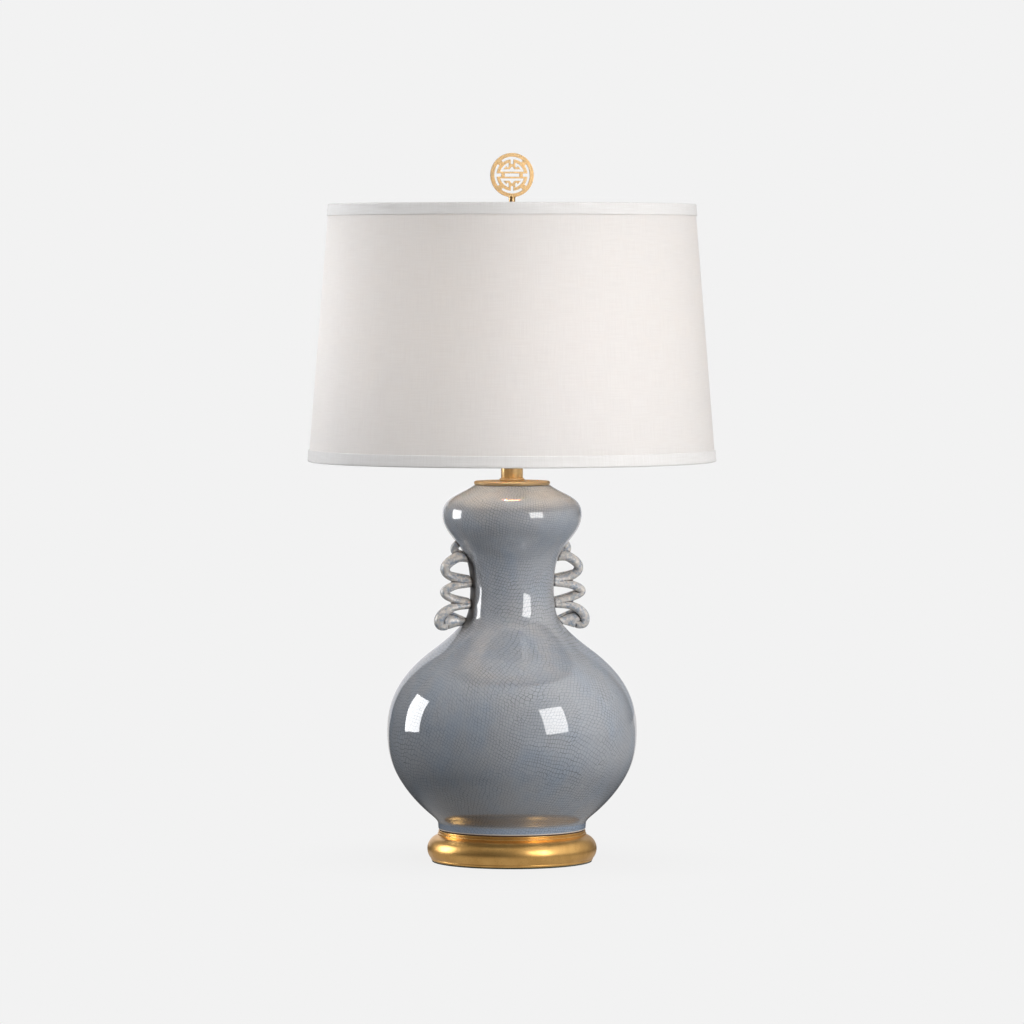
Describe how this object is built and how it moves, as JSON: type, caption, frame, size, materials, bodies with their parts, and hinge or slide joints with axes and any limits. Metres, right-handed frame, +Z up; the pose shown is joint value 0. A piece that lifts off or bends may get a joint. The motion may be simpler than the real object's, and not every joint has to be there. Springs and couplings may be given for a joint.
{
  "type": "table lamp",
  "caption": "Ceramic gourd vase table lamp with squiggle handles, gilt turned base, linen drum shade on a harp and pierced roundel finial.",
  "frame": {"origin": "on the lamp's vertical axis, at the underside of its felt", "axes": "+Z up; -Y is the front, +X is the right handle seen from the front, +Y is the cord outlet"},
  "size_m": [0.4819, 0.4818, 0.8354],
  "materials": {
    "felt": "pressed felt, matte",
    "gilt_wood": "turned wood under distressed gold leaf",
    "brown_plastic": "moulded, satin",
    "zinc_steel": "zinc plated",
    "rubber_ring": "soft, matte",
    "crackle_glaze": "grey-blue crackle glaze, glossy",
    "gilt_metal": "gold leafed, worn",
    "aged_brass": "aged, polished on the high spots",
    "brass_plated_steel": "brass plated",
    "socket_brass": "spun, lacquered",
    "liner_card": "fibre insulating sleeve",
    "phenolic": "moulded phenolic, satin",
    "frosted_glass": "inside frosted",
    "cap_aluminium": "rolled, bright",
    "dark_glass": "black insulating glass",
    "shade_styrene": "white lining film",
    "linen": "slubbed off-white linen"
  },
  "bodies": {
    "stand": {"felt_pad": "felt", "wood_base": "gilt_wood", "cord_bushing": "brown_plastic", "base_washer": "zinc_steel", "lock_washer": "zinc_steel", "base_nut": "zinc_steel", "lamp_pipe": "zinc_steel", "foot_gasket": "rubber_ring", "vase_body": "crackle_glaze", "handle_left": "crackle_glaze", "handle_right": "crackle_glaze", "vase_cap": "gilt_metal", "cap_collar": "gilt_metal", "neck_tube": "aged_brass", "neck_check_ring": "aged_brass", "harp_saddle": "brass_plated_steel", "saddle_nut": "zinc_steel", "harp_wire": "brass_plated_steel", "harp_stud": "aged_brass", "socket_cap": "socket_brass", "set_screw": "zinc_steel", "socket_shell": "socket_brass", "socket_liner": "liner_card", "socket_body": "phenolic", "terminal_screws": "socket_brass", "screw_shell": "cap_aluminium", "center_contact": "socket_brass", "bulb_glass": "frosted_glass", "bulb_cap": "cap_aluminium", "bulb_insulator": "dark_glass", "bulb_contact": "cap_aluminium"},
    "switch": {"switch_shaft": "socket_brass", "switch_knob": "phenolic"},
    "shade": {"shade_liner": "shade_styrene", "shade_linen": "linen", "top_trim": "linen", "bottom_trim": "linen", "spider_fitter": "brass_plated_steel", "bottom_ring": "zinc_steel"},
    "finial": {"finial_base": "aged_brass", "finial_roundel": "aged_brass"},
    "sleeve_left": {"harp_sleeve_left": "brass_plated_steel"},
    "sleeve_right": {"harp_sleeve_right": "brass_plated_steel"}
  },
  "joints": [
    {"name": "switch_turn", "type": "hinge", "parent": "stand", "child": "switch", "pos_m": [0, -0.025, 0.5375], "axis": [0, -1, 0], "continuous": true},
    {"name": "shade_turn", "type": "hinge", "parent": "stand", "child": "shade", "pos_m": [0, 0, 0.76], "axis": [0, 0, 1], "continuous": true},
    {"name": "finial_turn", "type": "hinge", "parent": "stand", "child": "finial", "pos_m": [0, 0, 0.762], "axis": [0, 0, 1], "continuous": true},
    {"name": "sleeve_left_lift", "type": "slide", "parent": "stand", "child": "sleeve_left", "axis": [0, 0, 1], "range_m": [0, 0.018]},
    {"name": "sleeve_right_lift", "type": "slide", "parent": "stand", "child": "sleeve_right", "axis": [0, 0, 1], "range_m": [0, 0.018]}
  ]
}
